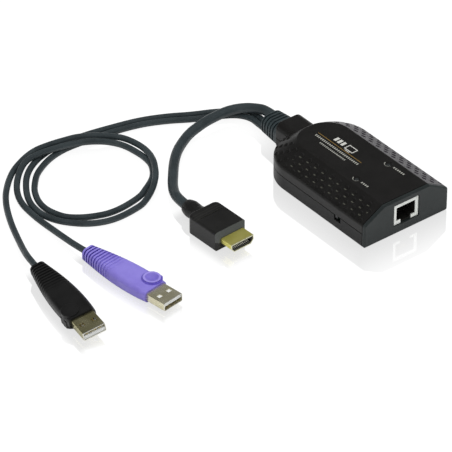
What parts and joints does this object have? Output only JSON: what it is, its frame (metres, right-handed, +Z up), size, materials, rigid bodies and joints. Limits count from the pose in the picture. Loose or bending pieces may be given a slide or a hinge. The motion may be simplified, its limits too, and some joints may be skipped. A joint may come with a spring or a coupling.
{
  "type": "kvm adapter cable",
  "caption": "Small keyboard, video and mouse adapter: a dimpled housing with a network jack, a ribbed grommet and captive leads that end in a video plug and data plugs.",
  "frame": {"origin": "bottom centre of the box round the housing and its grommet, on the resting surface", "axes": "+Y from the jack face towards the leads, +X to the right seen from the jack, +Z up"},
  "size_m": [0.2044, 0.1617, 0.0202],
  "materials": {
    "case_black": "fine moulded texture",
    "panel_grey": "satin",
    "steel": "satin",
    "grommet_grey": "matt",
    "plated_sheet": "bright",
    "insert_black": "matt",
    "gold": "satin plating",
    "board_green": "glossy",
    "chip_black": "matt",
    "lamp_white": "satin",
    "clear_pipe": "clear",
    "lead_grey": "matt jacket",
    "grip_black": "matt",
    "grip_purple": "matt",
    "plug_steel": "bright"
  },
  "bodies": {
    "case": {"lower_shell": "case_black", "upper_shell": "case_black", "front_panel": "panel_grey", "housing_screws": "steel", "cable_grommet": "grommet_grey", "jack_shield": "plated_sheet", "jack_insert": "insert_black", "jack_contacts": "gold", "main_board": "board_green", "video_chip": "chip_black", "network_chip": "chip_black", "memory_chip": "chip_black", "pulse_transformer": "chip_black", "power_inductor": "chip_black", "clock_crystal": "steel", "board_capacitors": "steel", "board_lamps": "lamp_white", "power_light_pipe": "clear_pipe", "link_light_pipe": "clear_pipe", "switch_body": "steel", "video_lead_socket": "lamp_white", "data_lead_sockets": "lamp_white", "inner_leads": "lead_grey", "video_cable": "lead_grey", "black_data_cable": "lead_grey", "purple_data_cable": "lead_grey", "video_plug_grip": "grip_black", "video_plug_shell": "gold", "video_plug_core": "insert_black", "video_plug_contacts": "gold", "black_plug_grip": "grip_black", "black_plug_shell": "plug_steel", "black_plug_core": "lamp_white", "black_plug_contacts": "gold", "purple_plug_grip": "grip_purple", "purple_plug_shell": "plug_steel", "purple_plug_core": "insert_black", "purple_plug_contacts": "gold"},
    "switch": {"switch_slider": "insert_black"}
  },
  "joints": [
    {"name": "switch_slide", "type": "slide", "parent": "case", "child": "switch", "axis": [0, -1, 0], "range_m": [0, 0.002]}
  ]
}
